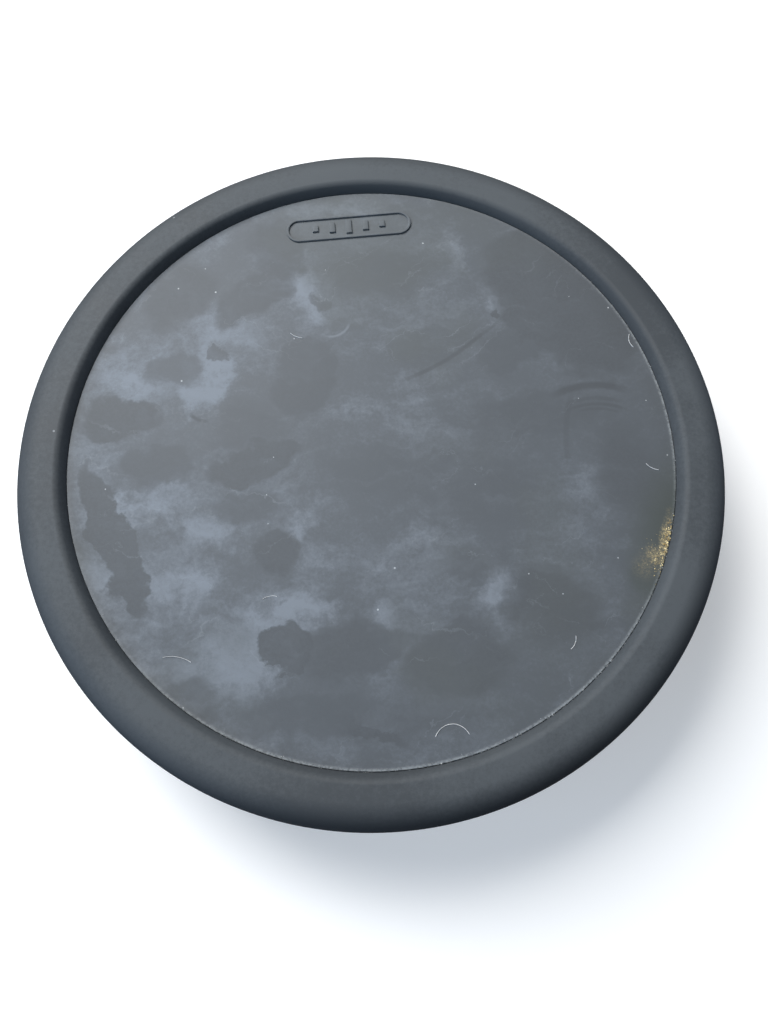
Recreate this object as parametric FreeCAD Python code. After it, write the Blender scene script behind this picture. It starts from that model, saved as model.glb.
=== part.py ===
"""Round rubber drum practice pad of the 7.5 inch class, for a clamp rod.

A thick rubber playing disc sits inside a rolled rubber rim. Both are bonded to a
steel plate, and the rim's lip hooks round the plate's edge. A flat plastic base
shell is screwed to standoffs under the plate. Under the shell hang a pod cover,
which holds the vibration sensor's jack, and a clamp block for a 10 mm rod, which
a wing bolt closes.

Millimetres. +Z is up, out of the playing face. +Y points away from the player,
towards the raised mark and the rod's mouth. The origin is on the ground, under
the centre of the disc.
"""
import FreeCAD, Part
import math
import os

from FreeCAD import Vector

# ---- driving dimensions -------------------------------------------------
OUTER_R = 110.0          # widest radius, at the rim's roll
TOTAL_H = 44.4           # ground to the rim's crest
RIM_RISE = 3.4           # crest above the playing face
PLAY_R = 93.7            # playing disc
PLAY_T = 5.5             # rubber over the plate
SEAM = 0.15              # groove between the disc and the rim
ROLL_R = 8.4             # outer roll's section radius
LIP_R = 2.2              # inner edge of the crest
PLATE_R = 97.0
PLATE_T = 1.5
HOOK_T = 3.0             # rim's lip under the plate
HOOK_R = 89.0            # opening of that lip
SHELL_R = 104.5
WALL = 2.5               # base shell's wall
FOOT_H = 3.0             # foot below the pod's floor
FOOT_SINK = 1.0          # foot's seat in the floor
FOOT_R = 6.0
SCREW_CIRCLE_R = 74.0
SCREW_COUNT = 6
ROD_R = 5.15             # bore for a 10 mm rod
AXIS_Z = 14.5            # height of the rod's, the bolt's and the jack's axes
BOLT_R = 2.95            # M6 shank, drawn plain
BOLT_Y = 56.0
JACK_X = -33.0
PLUG_R = 3.25            # socket for a 6.35 mm plug
LEAD_R = 0.6

# ---- levels -------------------------------------------------------------
PLAY_Z = TOTAL_H - RIM_RISE
PLATE_TOP = PLAY_Z - PLAY_T
PLATE_BOTTOM = PLATE_TOP - PLATE_T
SHELL_TOP = PLATE_BOTTOM - HOOK_T
SHELL_BOTTOM = SHELL_TOP - WALL
POD_BOTTOM = FOOT_H
FLOOR = POD_BOTTOM + WALL

# ---- plan of the pod cover ----------------------------------------------
POD_HALF_W = 50.0
POD_FRONT = -58.0
POD_REAR = 26.0
POD_FRONT_CORNER = 22.0
POD_REAR_CORNER = 8.0
EDGE_ROUND = 2.0

X = Vector(1, 0, 0)
Y = Vector(0, 1, 0)
Z = Vector(0, 0, 1)
DOWN = Vector(0, 0, -1)


# ---- small helpers ------------------------------------------------------
def block(x0, x1, y0, y1, z0, z1):
    return Part.makeBox(x1 - x0, y1 - y0, z1 - z0, Vector(x0, y0, z0))


def rod(radius, start, axis, length):
    return Part.makeCylinder(radius, length, start, axis)


def ring(outer, inner, z0, z1):
    tall = z1 - z0
    return rod(outer, Vector(0, 0, z0), Z, tall).cut(rod(inner, Vector(0, 0, z0), Z, tall))


def polygon(points):
    return Part.Face(Part.makePolygon([*points, points[0]]))


def on_circle(radius, degrees, z=0.0):
    turn = math.radians(degrees)
    return Vector(radius * math.cos(turn), radius * math.sin(turn), z)


def line(a, b):
    return Part.LineSegment(a, b).toShape()


def arc(a, middle, b):
    return Part.Arc(a, middle, b).toShape()


def joined(shapes):
    return shapes[0].multiFuse(shapes[1:]).removeSplitter()


def rounded_plan(x0, x1, y0, y1, front_r, rear_r, z0, z1):
    """Upright prism over a rectangle with rounded corners: front ones at y0, rear ones at y1."""
    corners = [
        (x0 + front_r, y0 + front_r, front_r, 180),
        (x1 - front_r, y0 + front_r, front_r, 270),
        (x1 - rear_r, y1 - rear_r, rear_r, 0),
        (x0 + rear_r, y1 - rear_r, rear_r, 90),
    ]
    edges = []
    last = None
    for cx, cy, radius, begin in corners:
        centre = Vector(cx, cy, z0)
        a, m, b = (centre + on_circle(radius, begin + turn) for turn in (0, 45, 90))
        if last is not None:
            edges.append(line(last, a))
        edges.append(arc(a, m, b))
        last = b
    edges.append(line(last, edges[0].Vertexes[0].Point))
    return Part.Face(Part.Wire(edges)).extrude(Vector(0, 0, z1 - z0))


def hexagon(across_flats, centre, axis, length):
    """Hexagonal prism along Y or Z from its centre point."""
    radius = across_flats / math.sqrt(3)
    points = []
    for k in range(6):
        p = on_circle(radius, 60 * k + 30)
        points.append(centre + (p if axis.z else Vector(p.x, 0, p.y)))
    return polygon(points).extrude(axis * length)


def export(shape, name):
    """Writes one sub-part, after a look at its solids."""
    if not shape.isValid() or any(s.Volume <= 0 for s in shape.Solids):
        raise RuntimeError(f"{name} is not a valid closed solid")
    shape.exportStep(f"parts/{name}.step")
    print(f"{name}: {len(shape.Solids)} solid(s), {shape.Volume:.0f} mm3")


# ---- rubber -------------------------------------------------------------
DISC_EDGE_R = 0.3
WALL_SLOPE = 60          # of the rim's inner wall, in degrees
LIP_SET_BACK = 3.15      # rim's inner edge to the middle of the lip's rounding
MARK_Y = 80.8            # raised mark, centre to the disc's centre
MARK_W = 42.0
MARK_H = 8.8
MARK_LINE = 0.9
MARK_RISE = 0.6
MARK_BARS = (2.2, 3.6, 5.0, 3.6, 2.2)
MARK_PITCH = 5.6


def raised_mark():
    """Plain moulded mark: a pill outline round five bars of different height."""
    def pill(inset):
        end = MARK_H / 2 - inset - 0.01
        half = MARK_W / 2 - inset
        return rounded_plan(-half, half, MARK_Y - MARK_H / 2 + inset, MARK_Y + MARK_H / 2 - inset,
                            end, end, PLAY_Z, PLAY_Z + MARK_RISE)
    parts = [pill(0.0).cut(pill(MARK_LINE))]
    for k, height in enumerate(MARK_BARS):
        x = (k - (len(MARK_BARS) - 1) / 2) * MARK_PITCH
        parts.append(block(x - 1.0, x + 1.0, MARK_Y - height / 2, MARK_Y + height / 2,
                           PLAY_Z, PLAY_Z + MARK_RISE))
    return parts


def playing_surface():
    disc = rod(PLAY_R, Vector(0, 0, PLATE_TOP), Z, PLAY_T)
    top_edge = [e for e in disc.Edges if e.BoundBox.ZMin > PLAY_Z - 0.01]
    disc = disc.makeFillet(DISC_EDGE_R, top_edge)
    return disc.fuse(raised_mark())


def rubber_rim():
    """Ring turned from one section: inner wall, broad crest, outer roll, and a hook under the plate."""
    inner = PLAY_R + SEAM
    roll = Vector(OUTER_R - ROLL_R, 0, TOTAL_H - ROLL_R)
    lip = Vector(inner + LIP_SET_BACK, 0, TOTAL_H - LIP_R)
    hook_angle = math.degrees(math.asin((SHELL_TOP - roll.z) / ROLL_R))

    def at(centre, radius, degrees):
        turn = math.radians(degrees)
        return Vector(centre.x + radius * math.cos(turn), 0, centre.z + radius * math.sin(turn))

    foot = Vector(inner, 0, PLATE_TOP)
    wall_top = at(lip, LIP_R, WALL_SLOPE + 90)
    wall_run = wall_top.x - inner
    wall_low = Vector(inner, 0, wall_top.z - wall_run * math.tan(math.radians(WALL_SLOPE)))
    crest_in = at(lip, LIP_R, 90)
    crest_out = at(roll, ROLL_R, 90)
    widest = at(roll, ROLL_R, 0)
    under = at(roll, ROLL_R, hook_angle)
    hook_low = Vector(HOOK_R, 0, SHELL_TOP)
    hook_top = Vector(HOOK_R, 0, PLATE_BOTTOM)
    edge_low = Vector(PLATE_R, 0, PLATE_BOTTOM)
    edge_top = Vector(PLATE_R, 0, PLATE_TOP)
    edges = [
        line(foot, wall_low),
        line(wall_low, wall_top),
        arc(wall_top, at(lip, LIP_R, WALL_SLOPE / 2 + 90), crest_in),
        line(crest_in, crest_out),
        arc(crest_out, at(roll, ROLL_R, 45), widest),
        arc(widest, at(roll, ROLL_R, hook_angle / 2), under),
        line(under, hook_low),
        line(hook_low, hook_top),
        line(hook_top, edge_low),
        line(edge_low, edge_top),
        line(edge_top, foot),
    ]
    return Part.Face(Part.Wire(edges)).revolve(Vector(0, 0, 0), Z, 360)


# ---- plate and its fixings ----------------------------------------------
SHANK_R = 2.0            # standoff's clinched shank
STANDOFF_AF = 6.0
BOSS_R = 4.6
BOSS_RISE = 1.0
M3_SHANK_R = 1.45
M3_THREAD_R = 1.5
M3_CLEAR_R = 1.7
M3_HEAD_R = 2.8
M3_HEAD_H = 2.0
SEAT_R = 3.2
SEAT_DEPTH = 1.2         # counterbore for a head
HEAD_ROUND = 0.9
SLOT_REACH = 1.4         # cross recess
SLOT_HALF_W = 0.35
SLOT_DEPTH = 1.1
TIP_GAP = 0.2            # screw tip short of its hole's end
FOAM_OUTER_R = 86.0
FOAM_INNER_R = 79.0


def screw_places():
    return [on_circle(SCREW_CIRCLE_R, 360 / SCREW_COUNT * k) for k in range(SCREW_COUNT)]


def steel_plate():
    plate = rod(PLATE_R, Vector(0, 0, PLATE_BOTTOM), Z, PLATE_T)
    holes = [rod(SHANK_R, p + Z * PLATE_BOTTOM, Z, PLATE_T) for p in screw_places()]
    return plate.cut(holes)


def plate_standoffs():
    made = []
    for p in screw_places():
        low = SHELL_TOP + BOSS_RISE
        nut = hexagon(STANDOFF_AF, p + Z * low, Z, PLATE_BOTTOM - low)
        shank = rod(SHANK_R, p + Z * PLATE_BOTTOM, Z, PLATE_T)
        made.append(nut.fuse(shank).cut(rod(M3_THREAD_R, p + Z * low, Z, PLATE_TOP - low)))
    return Part.makeCompound(made)


def pan_head_screw(place, seat_z, length, up=True):
    """Pan head with a cross recess, and a plain shank that leaves its seat upwards or downwards."""
    way = 1 if up else -1
    crown = seat_z - way * M3_HEAD_H
    head = rod(M3_HEAD_R, place + Z * min(seat_z, crown), Z, M3_HEAD_H)
    rounded = [e for e in head.Edges if abs(e.BoundBox.ZMin - crown) < 0.01 and e.BoundBox.ZLength < 0.01]
    head = head.makeFillet(HEAD_ROUND, rounded)
    slots = []
    for half_x, half_y in ((SLOT_REACH, SLOT_HALF_W), (SLOT_HALF_W, SLOT_REACH)):
        low = min(crown, crown + way * SLOT_DEPTH)
        slots.append(block(place.x - half_x, place.x + half_x, place.y - half_y, place.y + half_y,
                           low, low + SLOT_DEPTH))
    shank = rod(M3_SHANK_R, place + Z * seat_z, Z * way, length)
    return head.fuse(shank).cut(slots)


def shell_screws():
    seat = SHELL_BOTTOM + SEAT_DEPTH
    return Part.makeCompound([pan_head_screw(p, seat, PLATE_TOP - TIP_GAP - seat) for p in screw_places()])


def foam_ring():
    return ring(FOAM_OUTER_R, FOAM_INNER_R, SHELL_TOP, PLATE_BOTTOM)


# ---- base shell and pod cover -------------------------------------------
FEET = ((-36.0, -44.0), (36.0, -44.0), (-40.0, 12.0), (40.0, 12.0), (0.0, 66.0))
RIB_COUNT = 12
RIB_INNER_R = 82.0
RIB_HALF_W = 0.9
BEAD_INNER_R = 97.5
BEAD_OUTER_R = 99.5
BEAD_H = 1.0
LOCATOR_OUTER_R = 88.6   # ring inside the rim's hook
LOCATOR_INNER_R = 87.0
LOCATOR_H = 2.6
ROOT = 0.2               # how far a rib or boss runs into the wall that carries it
EAR_PLACES = ((-55.0, -30.0), (55.0, -30.0), (-55.0, 8.0), (55.0, 8.0))
EAR_R = 4.5
EAR_T = 3.0
EAR_BOSS_R = 3.6
EAR_BOSS_RISE = 2.4
BLOCK_SCREWS = ((-14.0, 36.0), (14.0, 36.0), (-14.0, 72.0), (14.0, 72.0))
WINDOW_HALF_W = 38.0     # opening in the shell between the sensor and the pod
WINDOW_FRONT = -46.0
WINDOW_REAR = 16.0
WINDOW_CORNER = 8.0
FLOOR_RIB_H = 6.0
FLOOR_RIB_T = 1.8
FLOOR_RIB_X = (8.0, 26.0)
FLOOR_RIB_Y = -36.9
BUSHING_R = 5.5


def base_shell():
    """Flat disc with a rounded lower edge, a bead and short ribs below, a locating ring and bosses above."""
    z0, z1 = SHELL_BOTTOM, SHELL_TOP
    half = math.radians(45)
    corner = Vector(SHELL_R - EDGE_ROUND, 0, z0 + EDGE_ROUND)
    low = Vector(SHELL_R - EDGE_ROUND, 0, z0)
    middle = corner + Vector(math.cos(half), 0, -math.sin(half)) * EDGE_ROUND
    side = Vector(SHELL_R, 0, z0 + EDGE_ROUND)
    edges = [
        line(Vector(0, 0, z0), low),
        arc(low, middle, side),
        line(side, Vector(SHELL_R, 0, z1)),
        line(Vector(SHELL_R, 0, z1), Vector(0, 0, z1)),
        line(Vector(0, 0, z1), Vector(0, 0, z0)),
    ]
    disc = Part.Face(Part.Wire(edges)).revolve(Vector(0, 0, 0), Z, 360)
    extras = [
        ring(BEAD_OUTER_R, BEAD_INNER_R, z0 - BEAD_H, z0 + ROOT),
        ring(LOCATOR_OUTER_R, LOCATOR_INNER_R, z1 - ROOT, z1 + LOCATOR_H),
    ]
    for k in range(RIB_COUNT):
        rib = block(RIB_INNER_R, BEAD_INNER_R + ROOT, -RIB_HALF_W, RIB_HALF_W, z0 - BEAD_H, z0 + ROOT)
        rib.rotate(Vector(0, 0, 0), Z, 360 / RIB_COUNT * (k + 0.5))
        extras.append(rib)
    for p in screw_places():
        extras.append(rod(BOSS_R, p + Z * (z1 - ROOT), Z, BOSS_RISE + ROOT))
    for x, y in EAR_PLACES:
        extras.append(rod(EAR_BOSS_R, Vector(x, y, z1 - ROOT), Z, EAR_BOSS_RISE + ROOT))
    openings = [rounded_plan(-WINDOW_HALF_W, WINDOW_HALF_W, WINDOW_FRONT, WINDOW_REAR,
                             WINDOW_CORNER, WINDOW_CORNER, z0, z1)]
    for p in screw_places():
        openings.append(rod(M3_CLEAR_R, p + Z * z0, Z, WALL + BOSS_RISE))
        openings.append(rod(SEAT_R, p + Z * z0, Z, SEAT_DEPTH))
    for x, y in EAR_PLACES:
        openings.append(rod(M3_THREAD_R, Vector(x, y, z0), Z, WALL + EAR_BOSS_RISE))
    for x, y in BLOCK_SCREWS:
        openings.append(rod(M3_CLEAR_R, Vector(x, y, z0), Z, WALL))
    return disc.fuse(extras).cut(openings).removeSplitter()


def softened(prism, z_low):
    """The prism with its lowest edges rounded."""
    edges = [e for e in prism.Edges if e.BoundBox.ZMax < z_low + 0.01]
    return prism.makeFillet(EDGE_ROUND, edges)


def pod_cover():
    """Tub under the shell: four ears for its screws, ribs on its floor, and a hole for the jack."""
    body = softened(rounded_plan(-POD_HALF_W, POD_HALF_W, POD_FRONT, POD_REAR,
                                 POD_FRONT_CORNER, POD_REAR_CORNER, POD_BOTTOM, SHELL_BOTTOM), POD_BOTTOM)
    ears = []
    for x, y in EAR_PLACES:
        wall_x = math.copysign(POD_HALF_W - WALL / 2, x)
        ears.append(rod(EAR_R, Vector(x, y, SHELL_BOTTOM - EAR_T), Z, EAR_T))
        ears.append(block(min(x, wall_x), max(x, wall_x), y - EAR_R, y + EAR_R,
                          SHELL_BOTTOM - EAR_T, SHELL_BOTTOM))
    room = rounded_plan(-POD_HALF_W + WALL, POD_HALF_W - WALL, POD_FRONT + WALL, POD_REAR - WALL,
                        POD_FRONT_CORNER - WALL, POD_REAR_CORNER - WALL, FLOOR, SHELL_BOTTOM)
    body = body.fuse(ears).cut(room)
    low = FLOOR - ROOT
    high = FLOOR + FLOOR_RIB_H
    ribs = [block(-POD_HALF_W + WALL / 2, POD_HALF_W - WALL / 2,
                  FLOOR_RIB_Y, FLOOR_RIB_Y + FLOOR_RIB_T, low, high)]
    for x in FLOOR_RIB_X:
        ribs.append(block(x, x + FLOOR_RIB_T, POD_FRONT + WALL / 2, POD_REAR - WALL / 2, low, high))
    openings = [rod(BUSHING_R, Vector(JACK_X, POD_REAR - WALL, AXIS_Z), Y, WALL)]
    for x, y in EAR_PLACES:
        openings.append(rod(M3_CLEAR_R, Vector(x, y, SHELL_BOTTOM - EAR_T), Z, EAR_T))
    for x, y in FEET[:4]:
        openings.append(rod(FOOT_R, Vector(x, y, 0), Z, POD_BOTTOM + FOOT_SINK))
    return body.fuse(ribs).cut(openings).removeSplitter()


def pod_screws():
    seat = SHELL_BOTTOM - EAR_T
    length = EAR_T + WALL + EAR_BOSS_RISE - TIP_GAP
    return Part.makeCompound([pan_head_screw(Vector(x, y, 0), seat, length) for x, y in EAR_PLACES])


def rubber_feet():
    made = []
    for x, y in FEET:
        foot = rod(FOOT_R, Vector(x, y, 0), Z, FOOT_H + FOOT_SINK)
        low = [e for e in foot.Edges if e.BoundBox.ZMax < 0.01]
        made.append(foot.makeFillet(0.8, low))
    return Part.makeCompound(made)


# ---- rod clamp ----------------------------------------------------------
BLOCK_HALF_W = 21.0
BLOCK_FRONT = 30.0
BLOCK_REAR = 78.0
BLOCK_CORNER = 5.0
BORE_FRONT = 38.0
JAW_BACK = 8.2
JAW_HALF_L = 10.0
JAW_HALF_H = 4.0
JAW_GAP = 0.2
NUT_FRONT = 9.1
NUT_T = 5.0
NUT_HALF = 5.0
NUT_GAP = 0.1
BOLT_GAP = 0.35
DOG_R = 2.0              # turned-down point of the bolt
DOG_LENGTH = 1.5
POCKET_HALF_W = 2.2      # lightening pockets, open at the top
POCKET_X = 13.4
POCKET_Y = (42.0, 64.0)
POCKET_LENGTH = 4.0
POCKET_FLOOR = 21.0
BLOCK_THREAD = 8.5


def clamp_block():
    """Moulded block with a blind bore for the rod, a window for the jaw and a slot for the nut."""
    body = softened(rounded_plan(-BLOCK_HALF_W, BLOCK_HALF_W, BLOCK_FRONT, BLOCK_REAR,
                                 BLOCK_CORNER, BLOCK_CORNER, POD_BOTTOM, SHELL_BOTTOM), POD_BOTTOM)
    cuts = [
        rod(ROD_R, Vector(0, BORE_FRONT, AXIS_Z), Y, BLOCK_REAR - BORE_FRONT),
        block(0, NUT_FRONT - NUT_GAP, BOLT_Y - JAW_HALF_L - JAW_GAP, BOLT_Y + JAW_HALF_L + JAW_GAP,
              AXIS_Z - JAW_HALF_H - JAW_GAP, AXIS_Z + JAW_HALF_H + JAW_GAP),
        block(NUT_FRONT - NUT_GAP, NUT_FRONT + NUT_T + NUT_GAP, BOLT_Y - NUT_HALF - JAW_GAP,
              BOLT_Y + NUT_HALF + JAW_GAP, AXIS_Z - NUT_HALF - JAW_GAP, SHELL_BOTTOM),
        rod(BOLT_R + BOLT_GAP, Vector(NUT_FRONT, BOLT_Y, AXIS_Z), X, BLOCK_HALF_W - NUT_FRONT),
    ]
    for x, y in BLOCK_SCREWS:
        cuts.append(rod(M3_THREAD_R, Vector(x, y, SHELL_BOTTOM), DOWN, BLOCK_THREAD))
    for side in (-1, 1):
        for y in POCKET_Y:
            cuts.append(block(side * POCKET_X - POCKET_HALF_W, side * POCKET_X + POCKET_HALF_W,
                              y, y + POCKET_LENGTH, POCKET_FLOOR, SHELL_BOTTOM))
    x, y = FEET[4]
    cuts.append(rod(FOOT_R, Vector(x, y, 0), Z, POD_BOTTOM + FOOT_SINK))
    return body.cut(cuts)


def clamp_screws():
    """Driven downwards from inside the shell into the block."""
    length = WALL + BLOCK_THREAD - TIP_GAP
    return Part.makeCompound([pan_head_screw(Vector(x, y, 0), SHELL_TOP, length, up=False)
                              for x, y in BLOCK_SCREWS])


def clamp_nut():
    nut = block(NUT_FRONT, NUT_FRONT + NUT_T, BOLT_Y - NUT_HALF, BOLT_Y + NUT_HALF,
                AXIS_Z - NUT_HALF, AXIS_Z + NUT_HALF)
    return nut.cut(rod(BOLT_R + NUT_GAP, Vector(NUT_FRONT, BOLT_Y, AXIS_Z), X, NUT_T))


def clamp_jaw():
    """Steel pad whose hollow face matches the rod; the bolt's point turns in its back."""
    pad = block(0, JAW_BACK, BOLT_Y - JAW_HALF_L, BOLT_Y + JAW_HALF_L,
                AXIS_Z - JAW_HALF_H, AXIS_Z + JAW_HALF_H)
    pad = pad.cut([
        rod(ROD_R, Vector(0, BOLT_Y - JAW_HALF_L, AXIS_Z), Y, 2 * JAW_HALF_L),
        rod(DOG_R + 0.1, Vector(JAW_BACK - DOG_LENGTH - 0.2, BOLT_Y, AXIS_Z), X, 5),
    ])
    return pad


GRIP_START = 23.0        # hub's face, clear of the block's side over the jaw's stroke
GRIP_HUB_R = 5.5
GRIP_HUB_L = 9.0
SHANK_END = 30.0
WING_T = 4.4


def wing_bolt():
    start = JAW_BACK + 0.1
    shank = rod(BOLT_R, Vector(start, BOLT_Y, AXIS_Z), X, SHANK_END - start)
    dog = rod(DOG_R, Vector(start - DOG_LENGTH, BOLT_Y, AXIS_Z), X, DOG_LENGTH)
    return shank.fuse(dog)


def wing_grip():
    """Moulded hub with two rounded wings, cast round the bolt's head end."""
    def at(x, y):
        return Vector(GRIP_START + x, BOLT_Y + y, AXIS_Z - WING_T / 2)
    wings = []
    for side in (-1, 1):
        outline = [
            line(at(2.0, 0), at(2.0, side * 4.5)),
            arc(at(2.0, side * 4.5), at(4.4, side * 9.4), at(7.5, side * 12.4)),
            arc(at(7.5, side * 12.4), at(11.6, side * 12.3), at(12.6, side * 8.6)),
            arc(at(12.6, side * 8.6), at(10.4, side * 4.4), at(GRIP_HUB_L + 0.6, 0)),
            line(at(GRIP_HUB_L + 0.6, 0), at(2.0, 0)),
        ]
        wings.append(Part.Face(Part.Wire(outline)).extrude(Vector(0, 0, WING_T)))
    hub = rod(GRIP_HUB_R, Vector(GRIP_START, BOLT_Y, AXIS_Z), X, GRIP_HUB_L)
    ends = [e for e in hub.Edges if e.BoundBox.XMin > GRIP_START + GRIP_HUB_L - 0.01]
    hub = hub.makeFillet(1.5, ends)
    body = joined([hub, *wings])
    return body.cut(rod(BOLT_R, Vector(GRIP_START, BOLT_Y, AXIS_Z), X, SHANK_END - GRIP_START))


# ---- jack ---------------------------------------------------------------
JACK_HALF = 8.0
JACK_BACK = -1.0
JACK_WALL = 2.0
JACK_FRONT_WALL = 3.0
JACK_FRONT = POD_REAR - WALL
BUSHING_END = POD_REAR + 6.0
WASHER_T = 0.8
JACK_NUT_T = 2.4
CONTACT_W = 4.0
CONTACT_T = 0.5
LUG_BACK = -7.0
TIP_LUG_Z = AXIS_Z + 4.4
SLEEVE_LUG_Z = AXIS_Z - 4.9


def contact(points):
    """Spring strip: a bent line in Y and Z, given thickness and width."""
    upper = [Vector(JACK_X - CONTACT_W / 2, y, z + CONTACT_T) for y, z in reversed(points)]
    lower = [Vector(JACK_X - CONTACT_W / 2, y, z) for y, z in points]
    return polygon([*lower, *upper]).extrude(X * CONTACT_W)


def jack_tip_contact():
    z = TIP_LUG_Z
    strip = contact([(LUG_BACK, z), (6.0, z), (10.0, AXIS_Z + 2.4), (12.0, AXIS_Z + 3.2)])
    return strip.cut(rod(0.9, Vector(JACK_X, LUG_BACK + 2.0, z - 1), Z, 3))


def jack_sleeve_contact():
    z = SLEEVE_LUG_Z
    strip = contact([(LUG_BACK, z), (18.0, z)])
    return strip.cut(rod(0.9, Vector(JACK_X, LUG_BACK + 2.0, z - 1), Z, 3))


def jack_body():
    outer = block(JACK_X - JACK_HALF, JACK_X + JACK_HALF, JACK_BACK, JACK_FRONT,
                  AXIS_Z - JACK_HALF, AXIS_Z + JACK_HALF)
    long_edges = [e for e in outer.Edges if e.BoundBox.YLength > 20]
    outer = outer.makeFillet(1.2, long_edges)
    half = JACK_HALF - JACK_WALL
    room = block(JACK_X - half, JACK_X + half, JACK_BACK + JACK_WALL, JACK_FRONT - JACK_FRONT_WALL,
                 AXIS_Z - half, AXIS_Z + half)
    mouth = rod(BUSHING_R, Vector(JACK_X, JACK_FRONT - 5, AXIS_Z), Y, 6)
    return outer.cut([room, mouth, jack_tip_contact(), jack_sleeve_contact()])


def jack_bushing():
    start = JACK_FRONT - JACK_FRONT_WALL
    length = BUSHING_END - start
    tube = rod(BUSHING_R, Vector(JACK_X, start, AXIS_Z), Y, length)
    return tube.cut(rod(PLUG_R, Vector(JACK_X, start, AXIS_Z), Y, length))


def jack_washer():
    disc = rod(7.6, Vector(JACK_X, POD_REAR, AXIS_Z), Y, WASHER_T)
    return disc.cut(rod(BUSHING_R, Vector(JACK_X, POD_REAR, AXIS_Z), Y, WASHER_T))


def jack_nut():
    start = Vector(JACK_X, POD_REAR + WASHER_T, AXIS_Z)
    return hexagon(14.0, start, Y, JACK_NUT_T).cut(rod(BUSHING_R, start, Y, JACK_NUT_T))


# ---- sensor and its leads -----------------------------------------------
TAPE_T = 1.0
BRASS_T = 0.3
CERAMIC_T = 0.25
BRASS_BOTTOM = PLATE_BOTTOM - TAPE_T - BRASS_T
CERAMIC_BOTTOM = BRASS_BOTTOM - CERAMIC_T
CLIP_X = -24.5
CLIP_HALF = 2.4
CLIP_Y = -16.0

RED_ROUTE = (
    (-6.4, 2.0, 31.7), (-11.5, 1.6, 30.6), (-15.2, -1.2, 26.4), (-16.0, -5.6, 20.4),
    (-16.0, -10.4, 14.0), (-16.6, -13.6, 9.0), (-20.0, -14.8, 6.6), (-29.0, -14.8, 6.6),
    (-32.6, -15.4, 9.0), (-33.8, -14.9, 14.0), (-33.6, -12.2, 18.6), (-33.0, -8.6, 20.03),
    (-33.0, -3.4, 20.03),
)
BLACK_ROUTE = (
    (-13.0, -4.0, 31.9), (-17.2, -5.0, 30.8), (-20.2, -8.0, 26.6), (-20.2, -12.2, 20.6),
    (-18.4, -16.0, 14.4), (-17.4, -17.8, 9.0), (-20.2, -17.2, 6.6), (-28.8, -17.2, 6.6),
    (-32.4, -16.4, 7.0), (-33.4, -12.6, 9.2), (-33.0, -8.6, 10.73), (-33.0, -3.4, 10.73),
)


def tube_on(route):
    """Round lead along straight runs joined by tangent arcs as large as the runs allow."""
    points = [Vector(*p) for p in route]
    edges = []
    start = points[0]
    for before, corner, after in zip(points, points[1:], points[2:]):
        into = (corner - before).normalize()
        out = (after - corner).normalize()
        half_turn = into.getAngle(out) / 2
        reach = 0.45 * min((corner - before).Length, (after - corner).Length)
        centre_way = (out - into).normalize()
        radius = reach / math.tan(half_turn)
        a = corner - into * reach
        b = corner + out * reach
        middle = corner + centre_way * (radius / math.cos(half_turn) - radius)
        edges.append(line(start, a))
        edges.append(arc(a, middle, b))
        start = b
    edges.append(line(start, points[-1]))
    path = Part.Wire(edges)
    first = (points[1] - points[0]).normalize()
    section = Part.Wire([Part.Circle(points[0], first, LEAD_R).toShape()])
    tube = path.makePipeShell([section], True, False)
    share = tube.Volume / (math.pi * LEAD_R ** 2 * path.Length)
    print(f"lead: {path.Length:.1f} mm, volume is {share:.3f} of section times length")
    return tube


def sensor_tape():
    return rod(12.0, Vector(0, 0, PLATE_BOTTOM - TAPE_T), Z, TAPE_T)


def piezo_brass():
    return rod(13.5, Vector(0, 0, BRASS_BOTTOM), Z, BRASS_T)


def piezo_ceramic():
    return rod(10.0, Vector(0, 0, CERAMIC_BOTTOM), Z, CERAMIC_T)


def solder_joints(leads):
    """Four blobs: on the ceramic, on the brass rim, and on the jack's two lugs."""
    blobs = [
        (Vector(-6.0, 2.0, CERAMIC_BOTTOM), 1.5, DOWN),
        (Vector(-12.4, -3.8, BRASS_BOTTOM), 1.4, DOWN),
        (Vector(JACK_X, -4.4, TIP_LUG_Z + CONTACT_T), 1.7, Z),
        (Vector(JACK_X, -4.4, SLEEVE_LUG_Z + CONTACT_T), 1.7, Z),
    ]
    made = []
    for place, radius, way in blobs:
        dome = Part.makeSphere(radius, place, way, 0, 90, 360)
        cut = dome.cut([*leads, piezo_ceramic(), jack_tip_contact(), jack_sleeve_contact()])
        made.append(max(cut.Solids, key=lambda s: s.Volume))
    return Part.makeCompound(made)


def lead_clip():
    """Nylon saddle glued to the floor, with one channel for each lead."""
    saddle = block(CLIP_X - CLIP_HALF, CLIP_X + CLIP_HALF, CLIP_Y - 4.5, CLIP_Y + 4.5, FLOOR, FLOOR + 2.6)
    upper = [e for e in saddle.Edges if e.BoundBox.ZMin > FLOOR + 2.5]
    saddle = saddle.makeFillet(0.6, upper)
    channels = []
    for y in (RED_ROUTE[6][1], BLACK_ROUTE[6][1]):
        channels.append(rod(LEAD_R + 0.05, Vector(CLIP_X - 5, y, RED_ROUTE[6][2]), X, 10))
        channels.append(block(CLIP_X - 5, CLIP_X + 5, y - LEAD_R - 0.05, y + LEAD_R + 0.05,
                              FLOOR, RED_ROUTE[6][2]))
    return saddle.cut(channels)


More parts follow.
